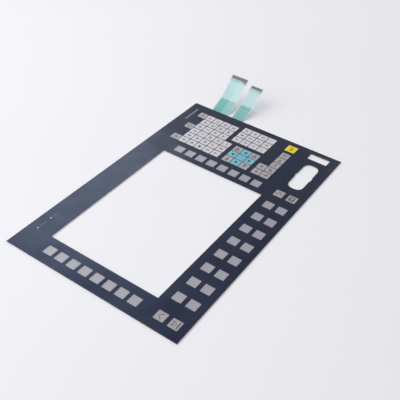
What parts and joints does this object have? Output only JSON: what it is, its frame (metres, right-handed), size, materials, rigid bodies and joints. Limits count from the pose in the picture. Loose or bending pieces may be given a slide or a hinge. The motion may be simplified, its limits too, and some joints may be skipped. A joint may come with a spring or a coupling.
{
  "type": "membrane keypad",
  "caption": "Flat laminated membrane keypad with a display cut-out, embossed key areas, a connector cut-out, a card slot and two flat circuit tails.",
  "frame": {"origin": "centre of the overall outline, on the back of the release liner", "axes": "+X along the panel's width towards the circuit tails, +Y towards the panel's top edge, +Z out of the printed face"},
  "size_m": [0.549, 0.306, 0.046],
  "materials": {
    "overlay_dark": "satin dark blue-grey printed polyester",
    "softkey_grey": "satin light grey print",
    "key_white": "satin off-white print",
    "key_grey": "satin mid-grey print",
    "key_cyan": "satin light blue print",
    "key_yellow": "satin yellow print",
    "clear_film": "clear polyester film",
    "teal_cover": "translucent teal insulating print",
    "adhesive": "adhesive on a polyester carrier",
    "liner_paper": "coated release paper",
    "stiffener_film": "grey stiff film",
    "lamp_body": "white moulded lamp"
  },
  "bodies": {
    "root": {"release_liner": "liner_paper", "rear_adhesive": "adhesive", "lower_circuit": "clear_film", "circuit_spacer": "adhesive", "upper_circuit": "clear_film", "dome_sheet": "clear_film", "dome_spacer": "adhesive", "graphic_overlay": "overlay_dark", "left_lamp": "lamp_body", "right_lamp": "lamp_body", "wide_tail_cover": "teal_cover", "narrow_tail_cover": "teal_cover", "wide_tail_stiffener": "stiffener_film", "narrow_tail_stiffener": "stiffener_film", "left_softkey_1": "softkey_grey", "left_softkey_2": "softkey_grey", "left_softkey_3": "softkey_grey", "left_softkey_4": "softkey_grey", "left_softkey_5": "softkey_grey", "left_softkey_6": "softkey_grey", "left_softkey_7": "softkey_grey", "left_softkey_8": "softkey_grey", "right_softkey_1": "softkey_grey", "right_softkey_2": "softkey_grey", "right_softkey_3": "softkey_grey", "right_softkey_4": "softkey_grey", "right_softkey_5": "softkey_grey", "right_softkey_6": "softkey_grey", "right_softkey_7": "softkey_grey", "right_softkey_8": "softkey_grey", "upper_softkey_1": "softkey_grey", "upper_softkey_2": "softkey_grey", "upper_softkey_3": "softkey_grey", "upper_softkey_4": "softkey_grey", "upper_softkey_5": "softkey_grey", "upper_softkey_6": "softkey_grey", "upper_softkey_7": "softkey_grey", "upper_softkey_8": "softkey_grey", "lower_softkey_1": "softkey_grey", "lower_softkey_2": "softkey_grey", "lower_softkey_3": "softkey_grey", "lower_softkey_4": "softkey_grey", "lower_softkey_5": "softkey_grey", "lower_softkey_6": "softkey_grey", "lower_softkey_7": "softkey_grey", "lower_softkey_8": "softkey_grey", "left_corner_key_upper": "softkey_grey", "left_corner_key_lower": "softkey_grey", "right_corner_key_upper": "softkey_grey", "right_corner_key_lower": "softkey_grey", "enter_key": "key_yellow", "letter_keys": "key_white", "number_keys": "key_white", "cursor_keys": "key_cyan", "paging_key_1": "key_grey", "paging_key_2": "key_grey", "paging_key_3": "key_grey", "paging_key_4": "key_grey", "edit_keys": "key_grey"}
  },
  "joints": []
}
